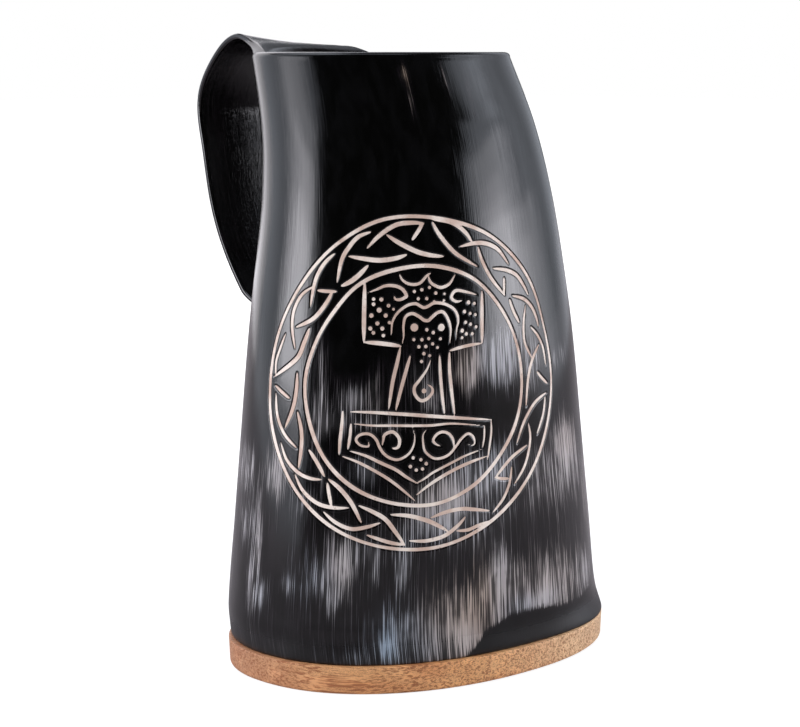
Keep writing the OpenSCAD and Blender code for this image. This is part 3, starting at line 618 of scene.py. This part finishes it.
def cut_line(line, widths):
    """Lowers the far table along one line to the distance from the cut's edge."""
    at = on_zone(line)
    reach = float(widths.max()) / 2 + 1.0
    for k in range(len(line) - 1):
        lo, hi = np.minimum(line[k], line[k + 1]) - reach, np.maximum(line[k], line[k + 1]) + reach
        j0, i0 = np.maximum((lo - zone_start) / zone_step, 0).astype(int)
        j1, i1 = ((hi - zone_start) / zone_step + 2).astype(int)
        seg = at[k + 1] - at[k]
        patch = ground[i0:i1, j0:j1] - at[k]
        q = np.clip((patch @ seg) / max(float(seg @ seg), 1e-9), 0, 1)
        gap = np.linalg.norm(patch - q[..., None] * seg, axis=-1) - mix(widths[k], widths[k + 1], q) / 2
        far[i0:i1, j0:j1] = np.minimum(far[i0:i1, j0:j1], gap)


for width, points in RING_CUTS:
    line = flowing(points, True, 14)
    turn = np.linspace(0, 2 * math.pi, len(line))
    uneven = 1 + 0.06 * np.sin(3 * turn + width * 9) + 0.04 * np.sin(11 * turn)
    cut_line(line, (width + CUT_EXTRA) * uneven)
for width, points in STROKE_CUTS:
    line = flowing(points, False, 7)
    tapered = 1 - STROKE_TAPER * np.abs(np.linspace(-1, 1, len(line))) ** TAPER_POWER
    cut_line(line, (width + CUT_EXTRA) * tapered)
for u, z, radius in DOT_CUTS:
    cut_line(np.array([(u, z), (u, z + 0.01)]), np.full(2, 2 * radius + CUT_EXTRA))

outwards = unit(np.cross(np.gradient(ground, axis=1), np.gradient(ground, axis=0)))
depth = CUT_DEPTH * ease((CUT_LIP - far) / CUT_SIDE)
burr = BURR_H * np.exp(-((far - BURR_AT) / BURR_R) ** 2)
outer[zone] = ground - outwards * (depth - burr)[..., None]

# ---- the strap's rows
rows_at = np.concatenate([[0, 0.35, 0.8, 1.4, 2.1, 2.9, 3.8, 4.8, 6.0],
                          np.arange(7.1, STRAP_LEN - TIP * PAD_LEN, 1.1),
                          STRAP_LEN - TIP * PAD_LEN * (1 - np.sin(np.linspace(0, math.pi / 2, 9)))])


def sheet_edge(at, y):
    """Where the sheet stops short of the strap's rounded edge: run, width, rounding, along, across."""
    step = 1e-3
    ahead, back = np.minimum(at + step, STRAP_LEN), np.maximum(at - step, 0)
    slope = (strap_half(ahead, y) - strap_half(back, y)) / (2 * step)
    size = np.hypot(slope, 1)
    along, side = -slope / size, 1 / size
    along[[0, -1]], side[[0, -1]] = 1.0, 0.0
    r = mix(LIP_R, 0.5 * np.minimum(strap_thick(at), STRAP_EDGE_T), ease(at / 8))
    return np.stack([at - r * along, strap_half(at, y) - r * side, r, along, side])


near_rows = sheet_edge(rows_at, -1)
dense = sheet_edge(np.unique(np.concatenate([rows_at, np.linspace(0, STRAP_LEN, 4000)])), 1)
far_rows = np.array([near_rows[0]] + [np.interp(near_rows[0], dense[0], line) for line in dense[1:]])
strap_rows = {-1: near_rows.T, 1: far_rows.T}

strap_runs = near_rows[0, 1:]
strap_y = [across * np.where(across < 0, near, other) for near, other in zip(near_rows[1, 1:], far_rows[1, 1:])]
strap_low, strap_high = (np.array([skin_point(y, run, face) for y, run in zip(strap_y, strap_runs)])
                         for face in (0, 1))
strap_fibres = np.array([fibre_at(outer_strap, CUP_H + run) for run in strap_runs])

# ---- the horn's skin as one closed mesh
points, fibres, stains = [], [], []


def add_rows(rows, along, stain):
    """Adds rows of points to the skin and returns their vertex numbers."""
    shape = rows.shape[:2]
    start = sum(map(len, points))
    points.append(rows.reshape(-1, 3))
    fibres.append(along.reshape(-1, 3))
    stains.append(np.broadcast_to(stain, (*shape, 4)).reshape(-1, 4))
    return start + np.arange(shape[0] * shape[1]).reshape(shape)


# The stain of each point on the outside
unrolled = np.array([arcs(z) for z in outer_z])
place_u = np.array([np.interp(column_angles(z, outer_strap), spin, arc) for z, arc in zip(outer_z, unrolled)])
place_z = np.broadcast_to(np.array(outer_z)[:, None], place_u.shape)
pale, warm = np.zeros_like(place_u), np.zeros_like(place_u)
girth = (unrolled[:, -1] - unrolled[:, 0])[:, None]
for u, z, reach_u, reach_z, much, tint in PALE_PATCHES:
    apart = (place_u - u + girth / 2) % girth - girth / 2
    patch = much * np.exp(-(apart / reach_u) ** 2 - ((place_z - z) / reach_z) ** 2)
    pale += patch
    warm += patch * tint
warm = warm / np.maximum(pale, 1e-3)
pale += PALE_ALL * ease((PALE_TOP - place_z) / PALE_FADE)
pale *= ease((place_z - np.interp(place_u, *np.array(DARK_FOOT, float).T, left=0, right=0) + 0.6) / 1.8)
dull = 0.25 * ease((BASE_H + 9 - place_z) / 7)
outer_stain = joined(np.clip(pale, 0, 1.5), warm, 0, dull)

outer_ids = add_rows(outer, outer_fibres, outer_stain)
inner_ids = add_rows(inner, inner_fibres, INNER_STAIN)
low_ids = add_rows(strap_low, strap_fibres, LOW_STAIN)
high_ids = add_rows(strap_high, strap_fibres, HIGH_STAIN)
low_ids = np.vstack([outer_ids[-1, :STRAP_COLS + 1], low_ids])
high_ids = np.vstack([inner_ids[-1, :STRAP_COLS + 1], high_ids])
skin, skin_fibres, skin_stains = map(np.vstack, (points, fibres, stains))

ahead = unit(np.gradient((skin[low_ids] + skin[high_ids]) / 2, axis=0))


def edge_at(row, col, sign):
    """One step of the strap's edge: vertex below, vertex above, rounding, direction."""
    _, _, r, along, side = strap_rows[sign or 1][row]
    way = unit(ahead[row, col] * along + np.array([0, sign, 0]) * side)
    return low_ids[row, col], high_ids[row, col], r, way


# The edge runs along the rim, up one side of the strap, round its end and down the other side
last = len(rows_at) - 1
loop = [(outer_ids[-1, j], inner_ids[-1, j], LIP_R, (0, 0, 1))
        for j in (*range(STRAP_COLS, outer.shape[1]), 0)]
loop += [edge_at(i, 0, 1) for i in range(1, last)]
loop += [edge_at(last, j, 0) for j in range(STRAP_COLS + 1)]
loop += [edge_at(i, -1, -1) for i in range(last - 1, 0, -1)]
loop_out, loop_in, loop_r, loop_way = map(np.array, zip(*loop))


def over_edge(values):
    """Values at the steps over the edge, from the outer side to the inner."""
    return mix(values[loop_out][:, None], values[loop_in][:, None], edge_t)


edge_t = (np.arange(1, EDGE_STEPS) / EDGE_STEPS)[:, None]
cos, sin = np.cos(math.pi * edge_t), np.sin(math.pi * edge_t)
a, b = skin[loop_out][:, None], skin[loop_in][:, None]
edge = ((a + b) / 2 + (a - b) / 2 * np.copysign(np.abs(cos) ** EDGE_POWER, cos)
        + (loop_way * loop_r[:, None])[:, None] * sin ** EDGE_POWER)
edge_ids = add_rows(edge, over_edge(skin_fibres) + sin * (0, 0, 1.5),
                    over_edge(skin_stains) * (1, 1, 0.35, 1))
edge_ids = np.column_stack([loop_out, edge_ids, loop_in])

faces = bands(outer_ids) + bands(inner_ids[::-1]) + bands([inner_ids[0], outer_ids[0]])
faces += bands(low_ids, False) + bands(high_ids[::-1], False) + bands(edge_ids.T)
horn = make_object("horn_skin", np.vstack(points), faces)
store(horn.data.attributes.new("fibre", "FLOAT_VECTOR", "POINT"), "vector", fibres)
store(horn.data.color_attributes.new("stain", "FLOAT_COLOR", "POINT"), "color", stains)

# ---- the pale filler in the cuts
rng = np.random.default_rng(SEED)
fill_points, fill_out, fill_ids, tops = [], [], {}, []


def fill_vertex(low, high, t, gap):
    """The number of the filler's vertex that lies the share t from one mesh point to its neighbour."""
    if (low, high) not in fill_ids:
        sag = FILL_SAG * float(ease((FILL_LEVEL - gap) / 0.35))
        sunk = FILL_DEPTH + sag + FILL_GRAIN * rng.standard_normal()
        fill_ids[low, high] = len(fill_points)
        fill_points.append(mix(ground[low], ground[high], t) - outwards[low] * sunk)
        fill_out.append(outwards[low])
    return fill_ids[low, high]


inside = far < FILL_LEVEL
some = inside[:-1, :-1] | inside[1:, :-1] | inside[:-1, 1:] | inside[1:, 1:]
for i, j in zip(*np.nonzero(some)):
    ring = []
    corners = [(i, j), (i, j + 1), (i + 1, j + 1), (i + 1, j)]
    for here, there in zip(corners, corners[1:] + corners[:1]):
        if inside[here]:
            ring.append(fill_vertex(here, here, 0, far[here]))
        if inside[here] != inside[there]:
            t = min(max(float((FILL_LEVEL - far[here]) / (far[there] - far[here])), 0.04), 0.96)
            low, high = min(here, there), max(here, there)
            ring.append(fill_vertex(low, high, t if low == here else 1 - t, FILL_LEVEL))
    if len(ring) > 2:
        tops.append(ring)
count = len(fill_points)
border = {}
for ring in tops:
    for a, b in zip(ring, ring[1:] + ring[:1]):
        if not border.pop((b, a), False):
            border[a, b] = True
fill_faces = tops + [[v + count for v in ring[::-1]] for ring in tops]
fill_faces += [(b, a, a + count, b + count) for a, b in border]
lower = np.array(fill_points) - np.array(fill_out) * FILL_T
fill = make_object("roundel_fill", np.vstack([fill_points, lower]), fill_faces)

# ---- lofted pieces: wood, resin, pegs
loft_spin = np.linspace(0, 2 * math.pi, 288, endpoint=False)


def loft(name, rings, smooth_angle):
    """A solid through rings of (height that gives the oval, height, inset)."""
    rings = [joined(*oval(loft_spin, at, inset), z) for at, z, inset in rings]
    return make_object(name, *tube(rings), smooth_angle)


def inner_inset(z):
    return float(wall_at(z)) + PLUG_GAP


wood_rings = [(0.0, 9.0), (0.0, BASE_TAPER + 2.4)]
wood_rings += [(WOOD_R * (1 - math.cos(a)), BASE_TAPER + WOOD_R * (1 - math.sin(a)))
               for a in np.linspace(0, math.pi / 2, 7)]
wood_rings += [(z, mix(BASE_TAPER, 0.12, (z - WOOD_R) / (BASE_H - 0.4 - WOOD_R)))
               for z in np.linspace(WOOD_R, BASE_H - 0.4, 13)[1:]]
wood_rings += [(BASE_H + z, inset) for z, inset in WOOD_TOP]
wood_rings += [(BASE_H, float(wall_at(BASE_H)) - 0.3), (BASE_H, inner_inset(BASE_H))]
wood_rings = [(BASE_H, z, inset) for z, inset in wood_rings]
wood_rings += [(z, z, inner_inset(z)) for z in (BASE_H + 2.5, BASE_H + 5, PLUG_TOP - BASE_EDGE)]
wood_rings += [(PLUG_TOP, PLUG_TOP, inner_inset(PLUG_TOP) + BASE_EDGE)]
wood = loft("base_wood", wood_rings, 40)

resin_top = PLUG_TOP + RESIN_H
resin_rings = [(z, z, inner_inset(z)) for z in (PLUG_TOP, PLUG_TOP + 1, resin_top, resin_top + RESIN_CREEP)]
resin_rings += [(resin_top, resin_top + RESIN_CREEP * (1 - math.sin(a)),
                 inner_inset(resin_top) + RESIN_CREEP * (1 - math.cos(a)) * 1.6)
                for a in np.linspace(0, math.pi / 2, 8)[1:]]
resin_rings += [(resin_top, resin_top, inner_inset(resin_top) + more) for more in (6, 12, 20, 28)]
resin = loft("bottom_resin", resin_rings, 60)

low, high = (np.array(corner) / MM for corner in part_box("handle_pegs"))
peg_y, peg_z = high[1] - PEG_D / 2, (low[2] + high[2]) / 2
peg_profile = [(high[0] - 0.05, 0.96), (high[0] - 0.4, 1.0), (low[0] + PEG_R, 1.0)]
peg_profile += [(low[0] + PEG_R - PEG_R * math.sin(a), math.cos(a) ** 0.7 if a < 1.5 else 0.02)
                for a in np.linspace(0.15, 1.52, 8)]
peg_spin = np.linspace(0, 2 * math.pi, 40, endpoint=False)
peg_points, peg_faces = np.empty((0, 3)), []
for y in (-peg_y, peg_y):
    rings = [joined(x, y + PEG_D / 2 * share * np.cos(peg_spin), peg_z - PEG_D / 2 * share * np.sin(peg_spin))
             for x, share in peg_profile]
    more_points, more_faces = tube(rings, len(peg_points))
    peg_points = np.vstack([peg_points, more_points])
    peg_faces += more_faces
pegs = make_object("peg_heads", peg_points, peg_faces, 50)


# ---- materials
class Nodes:
    """Short names for building the nodes of a material or of the world."""

    def __init__(self, owner):
        owner.use_nodes = True
        self.owner, self.tree = owner, owner.node_tree

    def put(self, node, inputs):
        """Sets inputs, by name or number, to values or to other nodes' outputs."""
        for key, value in inputs.items():
            if isinstance(value, bpy.types.NodeSocket):
                self.tree.links.new(value, node.inputs[key])
            else:
                node.inputs[key].default_value = value

    def add(self, kind, inputs=(), out=0, **settings):
        """Adds a node and returns one of its outputs."""
        node = self.tree.nodes.new("ShaderNode" + kind)
        for key, value in settings.items():
            setattr(node, key, value)
        self.put(node, dict(inputs))
        return node.outputs[out] if len(node.outputs) else None

    def math(self, operation, a, b, clamp=False):
        return self.add("Math", {0: a, 1: b}, operation=operation, use_clamp=clamp)

    def times(self, a, b, clamp=False):
        return self.math("MULTIPLY", a, b, clamp)

    def plus(self, total, *others):
        for other in others:
            total = self.math("ADD", total, other)
        return total

    def span(self, value, low, high, to_low=0.0, to_high=1.0):
        """A soft step from to_low to to_high, as the value goes from low to high."""
        inputs = enumerate((value, low, high, to_low, to_high))
        return self.add("MapRange", inputs, interpolation_type="SMOOTHSTEP")

    def blend(self, share, a, b):
        return self.add("Mix", {0: share, 6: a, 7: b}, out=2, data_type="RGBA")

    def scaled(self, vector, scale, turn=0.0):
        """A vector turned about Z, in degrees, and scaled."""
        turned = (0, 0, math.radians(turn))
        return self.add("Mapping", {"Vector": vector, "Rotation": turned, "Scale": scale})

    def noise(self, vector, scale, detail, rough=0.5, warp=0.0):
        """Noise at one scale, or at one for each axis."""
        if isinstance(scale, tuple):
            vector, scale = self.scaled(vector, scale), 1.0
        return self.add("TexNoise", {"Vector": vector, "Scale": scale, "Detail": detail, "Roughness": rough,
                                     "Distortion": warp})

    def bump(self, height, distance, strength, **normal):
        return self.add("Bump", {"Height": height, "Distance": distance, "Strength": strength, **normal})

    def place(self):
        return self.add("TexCoord", out="Object")

    def stored(self, name, out):
        return self.add("Attribute", out=out, attribute_name=name)

    def by_ray(self, kind, others, this):
        """One shader for rays of this kind and another for all others."""
        return self.add("MixShader", {0: self.add("LightPath", out=kind), 1: others, 2: this})

    def finish(self, **sockets):
        """Sets the material's own shader. A _ stands for the space in a socket's name."""
        shader = self.tree.nodes["Principled BSDF"]
        self.put(shader, {key.replace("_", " "): value for key, value in sockets.items()})
        return self.owner


def material(name):
    return Nodes(bpy.data.materials.new(name))


def rgb(r, g, b):
    """A colour written as it shows on screen, 0 to 255."""
    lin = [c / 12.92 if c <= 0.04045 else ((c + 0.055) / 1.055) ** 2.4 for c in (r / 255, g / 255, b / 255)]
    return (*lin, 1.0)


def horn_material():
    n = material("polished_horn")
    fibre = n.stored("fibre", "Vector")
    pale, warm, matte = n.add("SeparateColor", {"Color": n.stored("stain", "Color")}, out=slice(0, 3))
    fine = n.noise(fibre, (4.0, 4.0, 0.065), 1.0, warp=0.1)
    bundle = n.noise(fibre, (0.9, 0.9, 0.065), 3.0, 0.6, 0.2)
    clump = n.noise(fibre, (0.24, 0.24, 0.12), 2.0, warp=0.4)
    tone = n.noise(fibre, (0.55, 0.55, 0.04), 2.0)
    # How pale the fibres are: the patches decide where, the noises break them into strands
    strands = n.plus(n.times(fine, 0.78), n.times(bundle, 0.22))
    field = n.times(pale, n.span(clump, 0.25, 0.75, 0.8, 1.4))
    shown = n.span(n.plus(strands, n.times(field, 0.14)), 0.595, 0.73)
    amount = n.plus(n.times(n.times(shown, 0.72), n.span(field, 0.05, 0.6)),
                    n.span(field, 0.15, 1.1, 0.0, 0.11))
    cool = n.blend(tone, rgb(120, 117, 124), rgb(232, 230, 236))
    cool = n.blend(n.times(warm, -1.0, True), cool, rgb(158, 178, 200))
    brown = n.blend(tone, rgb(116, 90, 74), rgb(238, 214, 196))
    pale_colour = n.blend(n.times(warm, 1.0, True), cool, brown)
    # The horn between them: nearly black, with faint fibres round the patches, and rasped where it is matte
    dark = n.blend(n.span(clump, 0.35, 0.7), rgb(2, 2, 2), rgb(8, 8, 9))
    faint = n.times(n.span(fine, 0.44, 0.68), n.span(pale, 0.02, 0.12))
    dark = n.blend(faint, dark, rgb(25, 21, 25))
    rasped = n.blend(n.span(fine, 0.3, 0.7), rgb(4, 4, 4), rgb(19, 17, 16))
    body = n.blend(n.times(matte, 0.85), dark, rasped)
    colour = n.blend(n.times(amount, 0.92), body, pale_colour)
    mottle = n.noise(fibre, (0.5, 0.5, 0.35), 4.0, 0.6)
    rough = n.plus(n.times(mottle, 0.05), 0.085, n.times(matte, 0.08), n.stored("stain", "Alpha"),
                   n.times(amount, 0.06))
    rasp = n.noise(fibre, (1.1, 1.1, 0.5), 4.0, 0.65, 0.8)
    relief = n.bump(rasp, 0.0004, n.times(matte, 0.6), Normal=n.bump(strands, 0.00012, 0.25))
    return n.finish(Base_Color=colour, Roughness=rough, IOR=1.55, Normal=relief)


def fill_material():
    n = material("cream_filler")
    speck = n.noise(n.place(), 900.0, 4.0, 0.65)
    broad = n.noise(n.place(), 130.0, 3.0)
    colour = n.blend(n.span(broad, 0.36, 0.62), rgb(208, 180, 166), rgb(243, 228, 218))
    colour = n.blend(n.span(speck, 0.58, 0.76, 0.0, 0.6), colour, rgb(140, 110, 96))
    return n.finish(Base_Color=colour, Roughness=n.span(speck, 0.2, 0.8, 0.55, 0.8),
                    Normal=n.bump(speck, 0.00015, 0.6))


def wood_material():
    n = material("oiled_wood")
    turned = n.scaled(n.place(), (1, 1, 1), -36)
    # The grain's lines, pushed up and down by slow waves
    wavy = n.noise(turned, (14, 60, 60), 2.0)
    pushed = n.add("CombineXYZ", {"Z": n.times(wavy, 9.0)})
    grain = n.noise(n.add("VectorMath", {0: n.scaled(turned, (60, 1900, 1900)), 1: pushed}, operation="ADD"),
                    1.0, 4.0, 0.6, 0.4)
    broad = n.noise(turned, (12, 90, 130), 3.0)
    pore = n.add("TexVoronoi", {"Vector": n.scaled(turned, (480, 2400, 3000)), "Randomness": 1.0},
                 out="Distance")
    pore = n.times(n.span(pore, 0.22, 0.48, 1.0, 0.0), n.span(n.noise(turned, (90, 420, 420), 2.0), 0.32, 0.56))
    colour = n.blend(n.span(broad, 0.3, 0.7), rgb(232, 158, 100), rgb(250, 190, 130))
    # Painted light: paler toward the end on the camera's right, where the lamps there light the wood, with its
    # pores fainter there; greyer toward the other end
    end = n.add("SeparateXYZ", {"Vector": n.scaled(n.place(), (1, 1, 1), -45)})
    colour = n.blend(n.span(end, 0.012, 0.052, 0.0, 0.75), colour, rgb(255, 224, 184))
    colour = n.blend(n.span(end, -0.056, -0.012, 0.7, 0.0), colour, rgb(176, 130, 106))
    colour = n.blend(n.span(grain, 0.44, 0.62, 0.0, 0.85), colour, rgb(160, 94, 54))
    colour = n.blend(n.times(pore, n.span(end, 0.022, 0.05, 0.85, 0.45)), colour, rgb(134, 68, 34))
    height = n.math("SUBTRACT", n.times(grain, 0.4), pore)
    return n.finish(Base_Color=colour, Roughness=n.span(grain, 0.3, 0.7, 0.42, 0.6),
                    Normal=n.bump(height, 0.00022, 0.6))


def resin_material():
    n = material("casting_resin")
    cloud = n.noise(n.place(), 60.0, 3.0, warp=0.5)
    ripple = n.noise(n.place(), 45.0, 2.0)
    return n.finish(Base_Color=n.blend(cloud, rgb(44, 26, 15), rgb(84, 52, 30)), IOR=1.5,
                    Roughness=n.span(cloud, 0.3, 0.7, 0.08, 0.16), Normal=n.bump(ripple, 0.0006, 0.3))


def glue_material():
    n = material("set_glue")
    lumps = n.noise(n.place(), 260.0, 3.0)
    return n.finish(Base_Color=n.blend(lumps, rgb(150, 130, 92), rgb(196, 178, 136)),
                    Roughness=n.span(lumps, 0.3, 0.7, 0.35, 0.55), Normal=n.bump(lumps, 0.0004, 0.5))


def peg_material():
    n = material("peg_horn")
    rings = n.noise(n.place(), (120, 900, 900), 3.0, 0.6)
    return n.finish(Base_Color=n.blend(n.span(rings, 0.3, 0.7), rgb(62, 50, 42), rgb(150, 128, 108)), IOR=1.55,
                    Roughness=n.span(rings, 0.3, 0.7, 0.2, 0.34), Normal=n.bump(rings, 0.0001, 0.5))


for piece, made in ((horn, horn_material()), (fill, fill_material()), (wood, wood_material()),
                    (resin, resin_material()), (pegs, peg_material())):
    piece.data.materials.append(made)
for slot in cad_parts["strap_glue"].material_slots:
    slot.material = glue_material()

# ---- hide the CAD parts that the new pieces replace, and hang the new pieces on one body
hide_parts("horn_cup", "handle_strap")
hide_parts("wood_base")
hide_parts("base_resin")
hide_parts("handle_pegs")
for piece, name in ((horn, "horn"), (fill, "engraving"), (wood, "wood"), (resin, "resin"), (pegs, "peg_horn")):
    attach(piece, "root")

# ---- floor, world, lamps and camera
corners = [(x * FLOOR_SIDE / 2, y * FLOOR_SIDE / 2, 0) for x, y in ((-1, -1), (1, -1), (1, 1), (-1, 1))]
floor = make_object("floor", corners, [(0, 1, 2, 3)])

# The camera sees white paper, a little less white under the cup. Reflections see a darker floor.
n = material("paper")
n.tree.nodes.clear()
white, grey, reflected = (n.add("BsdfDiffuse", {"Color": (*colour, 1)})
                          for colour in ((0.8, 0.8, 0.8), (0.36, 0.36, 0.36), FLOOR_REFLECTED))
reach = n.add("VectorMath", {0: n.place()}, out="Value", operation="LENGTH")
glow = n.add("Emission", {"Strength": n.add("MapRange", enumerate((reach, 0.2, 0.9, 0.78, 1.0)))})
seen = n.add("AddShader", {0: grey, 1: glow})
mirrored = n.by_ray("Is Glossy Ray", white, reflected)
n.add("OutputMaterial", {"Surface": n.by_ray("Is Camera Ray", mirrored, seen)})
floor.data.materials.append(n.owner)

# The camera sees a white world. Reflections see an almost black one, so that the lamps alone draw them.
world = bpy.data.worlds.new("studio")
bpy.context.scene.world = world
n = Nodes(world)
n.tree.nodes.clear()
white, soft, dim = (n.add("Background", {"Color": (1, 1, 1, 1), "Strength": strength})
                    for strength in (1.0, WORLD_LIGHT, WORLD_REFLECTED))
n.add("OutputWorld", {"Surface": n.by_ray("Is Camera Ray", n.by_ray("Is Glossy Ray", soft, dim), white)})

# Rectangular lamps that face the cup and fill the given angles, seen from it
for name, azimuth_0, azimuth_1, low, high, distance, radiance, colour in SOFTBOXES:
    lamp = bpy.data.lights.new(name, "AREA")
    lamp.shape = "RECTANGLE"
    lamp.size = 2 * distance * math.tan(math.radians(azimuth_1 - azimuth_0) / 2)
    lamp.size_y = 2 * distance * math.tan(math.radians(high - low) / 2)
    lamp.energy = radiance * math.pi * lamp.size * lamp.size_y
    lamp.color = colour
    a, e = math.radians(VIEW_AZIMUTH + (azimuth_0 + azimuth_1) / 2), math.radians((low + high) / 2)
    obj = show(name, lamp)
    way = np.array([math.cos(a) * math.cos(e), math.sin(a) * math.cos(e), math.sin(e)])
    obj.location = np.array(LAMPS_FACE) + way * distance
    obj.rotation_euler = (math.pi / 2 - e, 0, a + math.pi / 2)

camera_data = bpy.data.cameras.new("camera")
camera_data.sensor_fit = "HORIZONTAL"
camera_data.sensor_width = 36.0
camera_data.lens = LENS
camera_data.clip_start = 0.01
camera = show("camera", camera_data)
camera.location = VIEW_FROM
camera.rotation_euler = (math.radians(90 - VIEW_DOWN), 0, math.radians(90 + VIEW_AZIMUTH))
bpy.context.scene.camera = camera
bpy.context.scene.view_settings.view_transform = "Standard"
